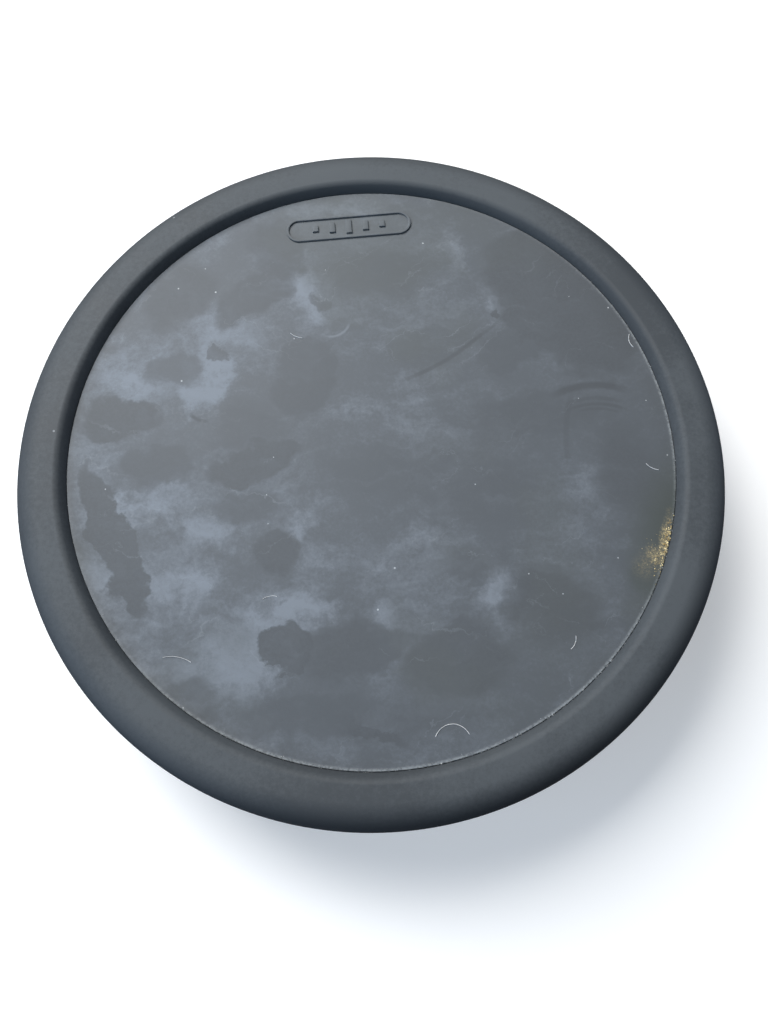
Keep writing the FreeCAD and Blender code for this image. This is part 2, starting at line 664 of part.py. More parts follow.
# ---- all sub-parts ------------------------------------------------------
def main():
    os.makedirs("parts", exist_ok=True)
    red = tube_on(RED_ROUTE)
    black = tube_on(BLACK_ROUTE)
    nodes = {
        "playing_surface": playing_surface(),
        "rubber_rim": rubber_rim(),
        "steel_plate": steel_plate(),
        "plate_standoffs": plate_standoffs(),
        "shell_screws": shell_screws(),
        "foam_ring": foam_ring(),
        "base_shell": base_shell(),
        "pod_cover": pod_cover(),
        "pod_screws": pod_screws(),
        "rubber_feet": rubber_feet(),
        "clamp_block": clamp_block(),
        "clamp_screws": clamp_screws(),
        "clamp_nut": clamp_nut(),
        "clamp_jaw": clamp_jaw(),
        "wing_bolt": wing_bolt(),
        "wing_grip": wing_grip(),
        "jack_body": jack_body(),
        "jack_bushing": jack_bushing(),
        "jack_washer": jack_washer(),
        "jack_nut": jack_nut(),
        "jack_tip_contact": jack_tip_contact(),
        "jack_sleeve_contact": jack_sleeve_contact(),
        "sensor_tape": sensor_tape(),
        "piezo_brass": piezo_brass(),
        "piezo_ceramic": piezo_ceramic(),
        "lead_red": red,
        "lead_black": black,
        "solder_joints": solder_joints([red, black]),
        "lead_clip": lead_clip(),
    }
    for name, shape in nodes.items():
        export(shape, name)


main()
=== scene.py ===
"""Rubber practice pad: a playing disc in a rolled rim on a steel plate, a base shell, a pod
cover with a jack, and a rod clamp with a wing bolt. Metres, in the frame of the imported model.
"""

import math
import random

import bmesh
import bpy
from mathutils import Matrix, Vector


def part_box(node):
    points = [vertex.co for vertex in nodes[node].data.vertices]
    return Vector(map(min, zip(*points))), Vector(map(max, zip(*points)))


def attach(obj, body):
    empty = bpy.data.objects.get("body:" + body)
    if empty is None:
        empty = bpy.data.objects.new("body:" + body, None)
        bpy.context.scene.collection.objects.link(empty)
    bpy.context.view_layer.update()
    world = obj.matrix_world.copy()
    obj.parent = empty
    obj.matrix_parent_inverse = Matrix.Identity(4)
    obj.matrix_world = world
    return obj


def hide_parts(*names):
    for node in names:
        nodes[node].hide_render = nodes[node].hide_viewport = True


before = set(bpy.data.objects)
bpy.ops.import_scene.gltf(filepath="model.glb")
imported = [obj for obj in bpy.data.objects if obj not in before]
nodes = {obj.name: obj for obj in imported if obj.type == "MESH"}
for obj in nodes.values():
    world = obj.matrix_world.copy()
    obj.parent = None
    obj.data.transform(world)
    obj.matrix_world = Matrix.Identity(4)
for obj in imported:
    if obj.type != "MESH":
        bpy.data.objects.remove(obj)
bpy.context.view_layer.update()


# ---- Steel plate --------------------------------------------------------
# Round sheet-steel plate, laser cut and bright zinc plated, which everything is fixed to.
# The rolling direction still shows as fine streaks under the plating.
plate_low, plate_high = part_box("steel_plate")


def node(tree, kind, inputs=None, **settings):
    """A shader node with its settings, and its inputs set or linked."""
    made = tree.nodes.new(kind)
    for name, value in settings.items():
        setattr(made, name, value)
    for key, value in (inputs or {}).items():
        if isinstance(value, bpy.types.NodeSocket):
            tree.links.new(value, made.inputs[key])
        else:
            made.inputs[key].default_value = value
    return made


def maths(tree, operation, a, b=0.0, c=0.0):
    """One arithmetic step."""
    return node(tree, "ShaderNodeMath", {0: a, 1: b, 2: c}, operation=operation).outputs[0]


def noise(tree, place, scale, detail, roughness=0.5):
    """Layered noise, from 0 to 1."""
    return node(tree, "ShaderNodeTexNoise", {"Vector": place, "Scale": scale, "Detail": detail,
                                             "Roughness": roughness}).outputs["Fac"]


def ramp(tree, value, *stops):
    """A smooth ramp over value, from (place, grey or colour) stops."""
    made = node(tree, "ShaderNodeValToRGB", {"Fac": value})
    made.color_ramp.interpolation = "EASE"
    elements = made.color_ramp.elements
    while len(elements) < len(stops):
        elements.new(0.5)
    for element, (place, tone) in zip(elements, stops):
        element.position = place
        element.color = (*tone, 1) if isinstance(tone, tuple) else (tone, tone, tone, 1)
    return made.outputs["Color"]


def mixed(tree, factor, a, b):
    """Two colours mixed by a factor."""
    made = node(tree, "ShaderNodeMix", {0: factor}, data_type="RGBA")
    for index, value in ((6, a), (7, b)):
        if isinstance(value, tuple):
            made.inputs[index].default_value = (*value, 1)
        else:
            tree.links.new(value, made.inputs[index])
    return made.outputs[2]


def started(name, **fixed):
    """A new material, its node tree, its shader with fixed values set, and Object coordinates."""
    material = bpy.data.materials.new(name)
    material.use_nodes = True
    tree = material.node_tree
    shader = tree.nodes["Principled BSDF"]
    for label, value in fixed.items():
        shader.inputs[label.replace("_", " ")].default_value = value
    return material, tree, shader, node(tree, "ShaderNodeTexCoord").outputs["Object"]


def effect(name, wanted, given):
    """A shader node group: named float inputs beside Place, named float outputs."""
    tree = bpy.data.node_groups.new(name, "ShaderNodeTree")
    tree.interface.new_socket("Place", in_out="INPUT", socket_type="NodeSocketVector")
    for label, value in wanted.items():
        socket = tree.interface.new_socket(label, in_out="INPUT", socket_type="NodeSocketFloat")
        socket.default_value = value
    for label in given:
        tree.interface.new_socket(label, in_out="OUTPUT", socket_type="NodeSocketFloat")
    return tree, tree.nodes.new("NodeGroupInput").outputs, tree.nodes.new("NodeGroupOutput").inputs


def placed(tree, group, place, **values):
    """The effect put in a material with its own values; gives its outputs."""
    made = node(tree, "ShaderNodeGroup", node_tree=group)
    tree.links.new(place, made.inputs["Place"])
    for label, value in values.items():
        made.inputs[label.replace("_", " ")].default_value = value
    return made.outputs


def bumped(tree, shader, height, strength, depth):
    """Gives the shader a bump from a height."""
    bump = node(tree, "ShaderNodeBump", {"Height": height, "Strength": strength, "Distance": depth})
    tree.links.new(bump.outputs["Normal"], shader.inputs["Normal"])


def dress(name, material):
    """Gives a CAD node its finish."""
    for slot in nodes[name].material_slots:
        slot.material = material


# Streaks along X, as rolling and drawing leave them.
streaks, into, out = effect("drawn_streaks", {"Streaks Per Metre": 900.0}, ["Streak"])
thin = node(streaks, "ShaderNodeMapping", {"Vector": into["Place"], "Scale": (0.04, 1.0, 1.0)})
streaks.links.new(noise(streaks, thin.outputs[0], into["Streaks Per Metre"], 3.0), out["Streak"])


def plated(name, dull, bright, roughness, streaks_per_metre):
    """A plated metal: streaked tone, and roughness between two values in soft clouds."""
    material, tree, shader, place = started(name, Metallic=1.0)
    streak = placed(tree, streaks, place, Streaks_Per_Metre=streaks_per_metre)["Streak"]
    cloud = noise(tree, place, 90.0, 4.0)
    tree.links.new(mixed(tree, ramp(tree, streak, (0.35, 0.0), (0.65, 1.0)), dull, bright),
                   shader.inputs["Base Color"])
    tree.links.new(ramp(tree, cloud, (0.35, roughness[0]), (0.68, roughness[1])),
                   shader.inputs["Roughness"])
    bumped(tree, shader, streak, 0.10, 0.00004)
    return material


dress("steel_plate", plated("zinc_sheet", (0.44, 0.45, 0.47), (0.62, 0.63, 0.66),
                            roughness=(0.28, 0.46), streaks_per_metre=900.0))


# ---- Standoffs ----------------------------------------------------------
# Six turned hexagonal steel standoffs, bright zinc plated, clinched into the plate.
bright_zinc = plated("bright_zinc", (0.55, 0.56, 0.58), (0.74, 0.75, 0.77),
                     roughness=(0.16, 0.30), streaks_per_metre=2400.0)
dress("plate_standoffs", bright_zinc)


# ---- Playing disc -------------------------------------------------------
# Thick disc of dull natural rubber, compression moulded and bonded flat on the plate.
# A plain raised mark near the far edge comes from the mould: a pill outline round five bars.
# Rubber bloom has come up over the face, and hands and sticks have wiped it off in places.
face_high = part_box("playing_surface")[1]
MARK_RISE = 0.0006                  # the mark stands this far above the face
play_z = face_high.z - MARK_RISE
play_r = face_high.x
MARK_Y = 0.0808
MARK_W = 0.042
MARK_H = 0.0088
MARK_LINE = 0.0009
BAR_HEIGHTS = (0.0022, 0.0036, 0.0050, 0.0036, 0.0022)
BAR_PITCH = 0.0056
BAR_W = 0.0020
MARK_SINK = 0.0001                  # the mark's root reaches this far into the disc
MARK_EDGE = 0.00022                 # rounding of the mark's upper edges
DISC_EDGE = 0.0003                  # rounding of the disc's upper edge
DISC_STEPS = 256
PILL_STEPS = 50

# Fine skin of a moulding: two sizes of grain, as a height.
grain, into, out = effect("moulded_grain", {"Grain Per Metre": 2600.0}, ["Height"])
fine = noise(grain, into["Place"], into["Grain Per Metre"], 2.0)
coarse = noise(grain, into["Place"], maths(grain, "MULTIPLY", into["Grain Per Metre"], 0.3), 3.0)
grain.links.new(maths(grain, "ADD", fine, coarse), out["Height"])

# Loose dust: sparse pale specks, one here and there in a jittered lattice.
specks, into, out = effect("dust_specks", {"Specks Per Metre": 260.0, "Rarity": 0.9, "Reach": 0.1},
                           ["Mask"])
cells = node(specks, "ShaderNodeTexVoronoi", {"Vector": into["Place"],
                                              "Scale": into["Specks Per Metre"]})
chance = node(specks, "ShaderNodeSeparateColor", {"Color": cells.outputs["Color"]})
chosen = maths(specks, "GREATER_THAN", chance.outputs["Red"], into["Rarity"])
near = maths(specks, "LESS_THAN", cells.outputs["Distance"],
             maths(specks, "MULTIPLY", into["Reach"], chance.outputs["Green"]))
specks.links.new(maths(specks, "MULTIPLY", chosen, near), out["Mask"])

# Thin straight scratches at a bearing.
scratches, into, out = effect("thin_scratches", {"Bearing": 0.6, "Rarity": 0.70}, ["Mask"])
slant = node(scratches, "ShaderNodeVectorRotate", {"Vector": into["Place"], "Angle": into["Bearing"]},
             rotation_type="Z_AXIS").outputs[0]
slant = node(scratches, "ShaderNodeMapping", {"Vector": slant, "Scale": (0.03, 1.0, 0.03)}).outputs[0]
lines = noise(scratches, slant, 1100.0, 1.0)
scratches.links.new(maths(scratches, "GREATER_THAN", lines, into["Rarity"]), out["Mask"])

# A place pushed about by noise, so that round patches get lobed, hand-wiped edges.
wander = bpy.data.node_groups.new("wandering_place", "ShaderNodeTree")
wander.interface.new_socket("Place", in_out="INPUT", socket_type="NodeSocketVector")
wander.interface.new_socket("Reach", in_out="INPUT", socket_type="NodeSocketFloat")
wander.interface.new_socket("Bends Per Metre", in_out="INPUT", socket_type="NodeSocketFloat")
wander.interface.new_socket("Place", in_out="OUTPUT", socket_type="NodeSocketVector")
into, out = wander.nodes.new("NodeGroupInput").outputs, wander.nodes.new("NodeGroupOutput").inputs
bend = node(wander, "ShaderNodeTexNoise", {"Vector": into["Place"], "Scale": into["Bends Per Metre"],
                                           "Detail": 6.0, "Roughness": 0.6})
push = node(wander, "ShaderNodeVectorMath", {0: bend.outputs["Color"], 1: (0.5, 0.5, 0.5)},
            operation="SUBTRACT").outputs[0]
push = node(wander, "ShaderNodeVectorMath", {0: push, "Scale": into["Reach"]},
            operation="SCALE").outputs[0]
moved = node(wander, "ShaderNodeVectorMath", {0: into["Place"], 1: push}, operation="ADD").outputs[0]
wander.links.new(moved, out["Place"])

# One patch of bloom or of wiping: an oval with an edge of its own softness, at its strength.
patch, into, out = effect("oval_patch", {
    "Middle X": 0.0, "Middle Y": 0.0, "Half Length": 0.01, "Half Width": 0.01, "Turn": 0.0,
    "Softness": 0.3, "Strength": 1.0}, ["Mask"])
middle = node(patch, "ShaderNodeCombineXYZ", {"X": into["Middle X"], "Y": into["Middle Y"]}).outputs[0]
arm = node(patch, "ShaderNodeVectorMath", {0: into["Place"], 1: middle},
           operation="SUBTRACT").outputs[0]
back = maths(patch, "MULTIPLY", into["Turn"], -1.0)
arm = node(patch, "ShaderNodeVectorRotate", {"Vector": arm, "Angle": back},
           rotation_type="Z_AXIS").outputs[0]
NO_LIMIT = 1e3                      # so high an oval that the place's height has no part in it
size = node(patch, "ShaderNodeCombineXYZ", {"X": into["Half Length"], "Y": into["Half Width"],
                                            "Z": NO_LIMIT}).outputs[0]
arm = node(patch, "ShaderNodeVectorMath", {0: arm, 1: size}, operation="DIVIDE").outputs[0]
reach = node(patch, "ShaderNodeVectorMath", {0: arm}, operation="LENGTH").outputs["Value"]
fall = node(patch, "ShaderNodeMapRange", {
    "Value": reach, "From Min": maths(patch, "SUBTRACT", 1.0, into["Softness"]),
    "From Max": maths(patch, "ADD", 1.0, maths(patch, "MULTIPLY", into["Softness"], 0.4)),
    "To Min": into["Strength"], "To Max": 0.0}, interpolation_type="SMOOTHSTEP")
patch.links.new(fall.outputs[0], out["Mask"])


def patches(tree, place, ovals):
    """The strongest of many oval patches.

    Each is (x, y, half length, half width in mm, turn in degrees, softness, strength).
    """
    total = 0.0
    for x, y, length, width, turn, softness, strength in ovals:
        one = placed(tree, patch, place, Middle_X=x / 1000, Middle_Y=y / 1000,
                     Half_Length=length / 1000, Half_Width=width / 1000,
                     Turn=math.radians(turn), Softness=softness, Strength=strength)
        total = maths(tree, "MAXIMUM", one["Mask"], total)
    return total


BLOOM = (                           # where the bloom lies thick
    (-69, 38, 17, 11, 60, 1.0, 0.70), (-49, 28, 17, 6, 85, 0.9, 0.75),
    (-44, 48, 12, 6, -10, 1.0, 0.5), (-72, -9, 15, 8, 5, 1.0, 0.70),
    (-50, -18, 14, 8, 20, 1.0, 0.55), (-55, -36, 20, 8, 8, 1.0, 0.60),
    (-26, -46, 14, 10, 5, 0.9, 0.80), (-21, -21, 12, 5, 38, 1.0, 0.65),
    (34, 67, 13, 8, 60, 1.0, 0.50), (46, 47, 11, 8, 110, 1.0, 0.60),
    (-18, 58, 15, 7, 95, 1.0, 0.60), (33, -48, 12, 8, 100, 1.0, 0.60),
    (61, -16, 15, 8, -20, 1.0, 0.35), (0, 87, 18, 5, 0, 0.9, 0.55), (77, 26, 11, 8, 110, 1.0, 0.35),
    (-44, -62, 20, 9, 20, 1.0, 0.45), (-6, -30, 28, 15, 15, 1.0, 0.40),
    (3, -56, 9, 6, 90, 1.0, 0.45), (-80, -42, 24, 9, 118, 1.0, 0.40),
    (5, 14, 34, 12, 12, 1.0, 0.30),
)
WIPED = (                           # where it has been wiped or pressed off
    (-24, 74, 13, 9, 100, 0.3, 0.73), (-58, 60, 16, 9, 42, 0.4, 0.84),
    (-33, 58, 15, 9, 30, 0.27, 0.73), (10, 63, 20, 10, 0, 0.48, 0.56),
    (67, 47, 31, 21, -62, 0.15, 0.9), (-46, 39, 3.4, 2.9, 0, 0.21, 0.62),
    (-60, 35, 9, 5.5, 0, 0.36, 0.56), (-78, 19, 13, 6.5, 0, 0.21, 0.95),
    (-66, 3, 12, 8, 0, 0.36, 0.67), (-19, 27, 15, 10, 75, 0.21, 0.67),
    (-37, 12, 11, 9, 0, 0.42, 0.5), (-37, 0, 15, 6.5, 10, 0.24, 0.9),
    (-40, -13, 12, 7, 0, 0.42, 0.62), (-31, -29, 7.5, 6, 20, 0.3, 0.84),
    (-80, -20, 26, 5.5, -70, 0.15, 0.95), (-30, -58, 9, 6, 0, 0.18, 0.95),
    (-11, -60, 17, 8, 5, 0.3, 0.78), (19, -66, 17, 13, 0, 0.3, 0.78),
    (-58, -68, 8, 6, -30, 0.42, 0.62), (49, -54, 16, 12, -30, 0.42, 0.84),
    (78, -14, 24, 11, -75, 0.6, 0.73), (44, 44.5, 2.5, 2, 0, 0.24, 0.95),
    (76, 17.5, 3.4, 2.4, 0, 0.3, 0.62), (-12, 54, 3.4, 3, 0, 0.36, 0.5),
    (-8, -81, 11, 2.2, -36, 0.42, 0.9), (55, 8, 32, 10, 4, 0.54, 0.56),
    (47, 31, 13, 7, 15, 0.24, 0.5), (-24, -76, 24, 7, 0, 0.48, 0.56),
    (28, -12, 26, 14, -10, 0.6, 0.45), (26, -37, 12, 7, 0, 0.54, 0.45),
    (4, -80, 22, 8, 0, 0.6, 0.50), (24, 34, 22, 9, 20, 0.6, 0.45), (0, -5, 20, 9, -15, 0.6, 0.34),
)
WIPED_TONE = (0.079, 0.086, 0.094)
BARE_TONE = (0.101, 0.112, 0.125)
BLOOM_TONE = (0.190, 0.214, 0.246)
FILM_TONE = (0.100, 0.110, 0.110)
SEAM_DUST_TONE = (0.34, 0.37, 0.39)
DAMP_TONE = (0.075, 0.086, 0.080)
SOIL_TONE = (0.40, 0.33, 0.19)
FUZZ_TONE = (0.34, 0.33, 0.26)
SCRATCH_TONE = (0.26, 0.29, 0.32)
SPECK_TONE = (0.50, 0.53, 0.56)


def from_axis(tree, place):
    """The place brought to the level of the origin, and its distance from the pad's axis."""
    flat = node(tree, "ShaderNodeVectorMath", {0: place, 1: (1, 1, 0)}, operation="MULTIPLY").outputs[0]
    return flat, node(tree, "ShaderNodeVectorMath", {0: flat}, operation="LENGTH").outputs["Value"]


# Bloom in clouds, less what has been wiped, and lighter toward the left: part bloom, part painted light
# falling off from the left.
face_rubber, tree, shader, place = started("bloomed_rubber", Specular_IOR_Level=0.22)
apart = node(tree, "ShaderNodeSeparateXYZ", {"Vector": place})
flat_place, radius = from_axis(tree, place)
lobed = placed(tree, wander, place, Reach=0.019, Bends_Per_Metre=75.0)["Place"]
cloudy = placed(tree, wander, place, Reach=0.040, Bends_Per_Metre=40.0)["Place"]
clouds = noise(tree, cloudy, 30.0, 10.0, 0.68)
clouds = ramp(tree, clouds, (0.38, 0.0), (0.64, 1.0))
bloom = maths(tree, "MULTIPLY", patches(tree, cloudy, BLOOM),
              maths(tree, "MULTIPLY_ADD", clouds, 0.60, 0.42))
# Painted light: the bloom is weighted up toward the left, so that the face grows lighter on the side
# nearer the lamps.
painted_left_light = node(tree, "ShaderNodeMapRange", {
    "Value": apart.outputs["X"], "From Min": -0.075, "From Max": 0.055,
    "To Min": 0.40, "To Max": 0.22}).outputs[0]
bloom = maths(tree, "MULTIPLY_ADD", clouds, painted_left_light, bloom)
thin = noise(tree, lobed, 75.0, 6.0)
wiped = maths(tree, "MULTIPLY", patches(tree, lobed, WIPED),
              ramp(tree, thin, (0.32, 0.75), (0.55, 1.0)))
level = maths(tree, "MULTIPLY", bloom, maths(tree, "MULTIPLY_ADD", wiped, -0.88, 1.0))

# Fine wiping streaks in three directions, of (turn, streaks per metre, strength), and a mottle
# under a millimetre.
for turn, scale, strength in ((-32, 300.0, 0.13), (68, 380.0, 0.09), (24, 190.0, 0.10)):
    slant = node(tree, "ShaderNodeMapping", {"Vector": lobed, "Rotation": (0, 0, math.radians(turn)),
                                             "Scale": (0.16, 1.0, 1.0)}).outputs[0]
    lines = noise(tree, slant, scale, 3.0)
    level = maths(tree, "MULTIPLY_ADD", ramp(tree, lines, (0.45, 0.0), (0.75, 1.0)), strength, level)
mottle = noise(tree, place, 900.0, 4.0, 0.75)
level = maths(tree, "MULTIPLY_ADD", maths(tree, "SUBTRACT", mottle, 0.5), 0.55, level)
tone = mixed(tree, ramp(tree, level, (0.0, 0.0), (0.95, 1.0)), BARE_TONE, BLOOM_TONE)
bared = maths(tree, "MULTIPLY", wiped, ramp(tree, mottle, (0.38, 0.45), (0.62, 0.75)))
tone = mixed(tree, bared, tone, WIPED_TONE)

# A fine greenish-grey film in some of the clouds.
film = noise(tree, cloudy, 17.0, 2.0)
tone = mixed(tree, ramp(tree, film, (0.52, 0.0), (0.70, 0.35)), tone, FILM_TONE)

# Curved scuffs where a ring or a stand was dragged: short arcs of (x, y, radius, half width in
# mm, first and last bearing, strength). One with a negative strength is a pale one.
SCUFFS = (
    (70, -13, 28.6, 0.9, 60, 118, 0.8), (70, -13, 24.2, 0.5, 62, 112, 0.45),
    (70, -13, 22.2, 0.4, 55, 115, 0.5), (70, -13, 20.6, 0.35, 60, 105, 0.4),
    (-50, 22, 6.6, 0.45, -150, -85, 0.8), (-9, 47, 6.3, 0.3, -120, -10, -0.5),
    (-10, 100, 80, 0.5, -76, -49, 0.55), (-4, 104, 80, 0.4, -66, -50, 0.35),
    (110, -8, 50, 0.7, 150, 196, 0.35),
)
for x, y, r, half, first, last, strength in SCUFFS:
    arm = node(tree, "ShaderNodeVectorMath", {0: flat_place, 1: (x / 1000, y / 1000, 0)},
               operation="SUBTRACT").outputs[0]
    away = node(tree, "ShaderNodeVectorMath", {0: arm}, operation="LENGTH").outputs["Value"]
    parts = node(tree, "ShaderNodeSeparateXYZ", {"Vector": arm})
    bearing = maths(tree, "ARCTAN2", parts.outputs["Y"], parts.outputs["X"])
    middle, spread = math.radians((first + last) / 2), math.radians((last - first) / 2)
    off = maths(tree, "ABSOLUTE", maths(tree, "SUBTRACT", bearing, middle))
    off = maths(tree, "MULTIPLY", off, 1 / spread)
    across = maths(tree, "ABSOLUTE", maths(tree, "SUBTRACT", away, r / 1000))
    across = maths(tree, "MULTIPLY", across, 1000 / half)
    mark = maths(tree, "MULTIPLY", ramp(tree, off, (0.5, 1.0), (1.0, 0.0)),
                 ramp(tree, maths(tree, "MULTIPLY", across, 0.5), (0.25, abs(strength)), (1.0, 0.0)))
    tone = mixed(tree, mark, tone, WIPED_TONE if strength > 0 else BLOOM_TONE)

# Dust along the seam, a dark damp-looking film with tan soil at one place on the right, and a
# little grey fuzz further round.
SOIL_BEARING = math.radians(-24.6)
edge = maths(tree, "MULTIPLY", radius, 1 / play_r)
grit = noise(tree, place, 1500.0, 3.0)
near_side = maths(tree, "SUBTRACT", apart.outputs["X"],
                  maths(tree, "MULTIPLY", apart.outputs["Y"], 1.4))
near_side = ramp(tree, maths(tree, "MULTIPLY_ADD", near_side, 4.0, 0.45), (0.25, 0.12), (0.85, 1.0))
dusty_edge = maths(tree, "MULTIPLY", ramp(tree, edge, (0.987, 0.0), (0.998, 1.0)), near_side)
dusty_edge = maths(tree, "MULTIPLY", dusty_edge, ramp(tree, grit, (0.35, 0.25), (0.60, 1.0)))
tone = mixed(tree, maths(tree, "MULTIPLY", dusty_edge, 0.75), tone, SEAM_DUST_TONE)
turned = node(tree, "ShaderNodeVectorRotate", {"Vector": flat_place, "Angle": -SOIL_BEARING},
              rotation_type="Z_AXIS").outputs[0]
ragged = placed(tree, wander, turned, Reach=0.004, Bends_Per_Metre=260.0)["Place"]
damp = patches(tree, turned, ((93, 6, 12, 28, 0, 0.9, 0.8), (90, -10, 7, 8, 0, 0.5, 0.6)))
tone = mixed(tree, damp, tone, DAMP_TONE)
powder = patches(tree, ragged, (
    (92.0, 2.0, 1.5, 9.0, 3, 0.9, 0.9), (90.3, -4.0, 2.8, 3.4, 20, 0.9, 0.8),
    (88.2, -7.5, 3.4, 4.0, 0, 1.0, 0.3)))
clumps = noise(tree, place, 1700.0, 5.0, 0.7)
soil = maths(tree, "MULTIPLY", powder, ramp(tree, clumps, (0.40, 0.12), (0.62, 1.0)))
tone = mixed(tree, soil, tone, SOIL_TONE)
fuzz = patches(tree, ragged, ((90, 45, 2.6, 10, 0, 0.9, 0.55),))
fuzz = maths(tree, "MULTIPLY", fuzz, ramp(tree, clumps, (0.52, 0.0), (0.62, 1.0)))
tone = mixed(tree, fuzz, tone, FUZZ_TONE)

# Thin pale scratches where sticks have skidded, and loose specks of dust.
for bearing in (0.5, 2.6):
    skid = placed(tree, scratches, lobed, Bearing=bearing, Rarity=0.725)["Mask"]
    shown = maths(tree, "MULTIPLY", skid, maths(tree, "MULTIPLY", clouds, 0.20))
    tone = mixed(tree, shown, tone, SCRATCH_TONE)
dust = placed(tree, specks, place, Specks_Per_Metre=330.0, Rarity=0.94, Reach=0.11)["Mask"]
tone = mixed(tree, maths(tree, "MULTIPLY", dust, 0.7), tone, SPECK_TONE)
tree.links.new(tone, shader.inputs["Base Color"])
tree.links.new(ramp(tree, level, (0.0, 0.60), (1.0, 0.82)), shader.inputs["Roughness"])
skin = placed(tree, grain, place, Grain_Per_Metre=2300.0)["Height"]
bumped(tree, shader, maths(tree, "MULTIPLY_ADD", soil, 3.0, skin), 0.25, 0.00008)


def finished(name, maker, material, body, smooth_angle=40, recalculated=True):
    """A piece at the origin from a bmesh, with its material and body."""
    bmesh.ops.remove_doubles(maker, verts=maker.verts, dist=1e-6)
    if recalculated:
        bmesh.ops.recalc_face_normals(maker, faces=maker.faces)
    mesh = bpy.data.meshes.new(name)
    maker.to_mesh(mesh)
    maker.free()
    mesh.set_sharp_from_angle(angle=math.radians(smooth_angle))
    piece = bpy.data.objects.new(name, mesh)
    bpy.context.scene.collection.objects.link(piece)
    mesh.materials.append(material)
    if body:
        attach(piece, body)
    return piece


def rounded_off(maker, edges, offset, segments=3):
    """Bevels edges round."""
    bmesh.ops.bevel(maker, geom=edges, offset=offset, offset_type="OFFSET", affect="EDGES",
                    segments=segments, profile=0.5, material=-1)


def edges_above(maker, level):
    """The edges whose two ends both lie above a level."""
    return [e for e in maker.edges if all(v.co.z > level for v in e.verts)]


def added(whole, extra):
    """Joins a second bmesh into the first."""
    mesh = bpy.data.meshes.new("joined")
    extra.to_mesh(mesh)
    extra.free()
    whole.from_mesh(mesh)
    bpy.data.meshes.remove(mesh)


disc = bmesh.new()
bmesh.ops.create_cone(disc, cap_ends=True, segments=DISC_STEPS, radius1=play_r, radius2=play_r,
                      depth=play_z - plate_high.z,
                      matrix=Matrix.Translation((0, 0, (play_z + plate_high.z) / 2)))
rounded_off(disc, edges_above(disc, play_z - 1e-6), DISC_EDGE)
pill = bmesh.new()
bmesh.ops.create_circle(pill, cap_ends=True, segments=PILL_STEPS, radius=MARK_H / 2)
for vert in pill.verts:
    vert.co.x += math.copysign(MARK_W / 2 - MARK_H / 2, vert.co.x)
bmesh.ops.translate(pill, verts=pill.verts, vec=(0, MARK_Y, play_z - MARK_SINK))
outline = bmesh.ops.inset_region(pill, faces=pill.faces[:], thickness=MARK_LINE, use_boundary=True,
                                 use_even_offset=True)["faces"]
bmesh.ops.delete(pill, geom=[f for f in pill.faces if f not in outline], context="FACES_ONLY")
top = bmesh.ops.extrude_face_region(pill, geom=pill.faces[:], use_keep_orig=True)["geom"]
bmesh.ops.translate(pill, verts=[g for g in top if isinstance(g, bmesh.types.BMVert)],
                    vec=(0, 0, MARK_RISE + MARK_SINK))
rounded_off(pill, [e for e in edges_above(pill, play_z) if abs(e.calc_face_angle(0)) > 1], MARK_EDGE)
added(disc, pill)
for k, tall in enumerate(BAR_HEIGHTS):
    bar = bmesh.new()
    middle = ((k - (len(BAR_HEIGHTS) - 1) / 2) * BAR_PITCH, MARK_Y,
              play_z + (MARK_RISE - MARK_SINK) / 2)
    size = Vector((BAR_W, tall, MARK_RISE + MARK_SINK))
    bmesh.ops.create_cube(bar, matrix=Matrix.LocRotScale(middle, None, size))
    rounded_off(bar, edges_above(bar, play_z), MARK_EDGE)
    added(disc, bar)
playing_disc = finished("playing_disc", disc, face_rubber, "pad", 35)
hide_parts("playing_surface")


# ---- Rolled rim ---------------------------------------------------------
# Separate ring of a blacker rubber, bonded round the disc: a steep inner wall, a broad crest
# and a fat outer roll, whose lip hooks under the plate's edge.
rim_low, rim_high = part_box("rubber_rim")
foam_low, foam_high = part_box("foam_ring")
SEAM = 0.00015                      # groove between the disc and the rim
ROLL_R = 0.0084
LIP_R = 0.0022
LIP_SET_BACK = 0.00315
WALL_SLOPE = math.radians(60)
HOOK_OPENING = 0.003                # from the foam to the hook's inner edge
HOOK_EDGE = 0.0006
RIM_STEPS = 256
LARGE_ROUNDING = 0.001              # a longer rounding than this gets more segments

inner_r = play_r + SEAM
roll_z = rim_high.z - ROLL_R
hook_turn = math.asin((roll_z - rim_low.z) / ROLL_R)
under_corner = ROLL_R * math.tan(hook_turn / 2)
lip_corner = LIP_R * math.tan(WALL_SLOPE / 2)
lip_x = inner_r + LIP_SET_BACK - lip_corner
wall_low_z = rim_high.z - (lip_x - inner_r) * math.tan(WALL_SLOPE)
section = (                         # radius, height, length of rounding along both sides
    (inner_r, plate_high.z, 0), (inner_r, wall_low_z, 0), (lip_x, rim_high.z, lip_corner),
    (rim_high.x, rim_high.z, ROLL_R), (rim_high.x, roll_z - under_corner, under_corner),
    (rim_high.x - ROLL_R + ROLL_R * math.cos(hook_turn), rim_low.z, HOOK_EDGE),
    (foam_high.x + HOOK_OPENING, rim_low.z, HOOK_EDGE),
    (foam_high.x + HOOK_OPENING, plate_low.z, 0),
    (plate_high.x, plate_low.z, 0), (plate_high.x, plate_high.z, 0))


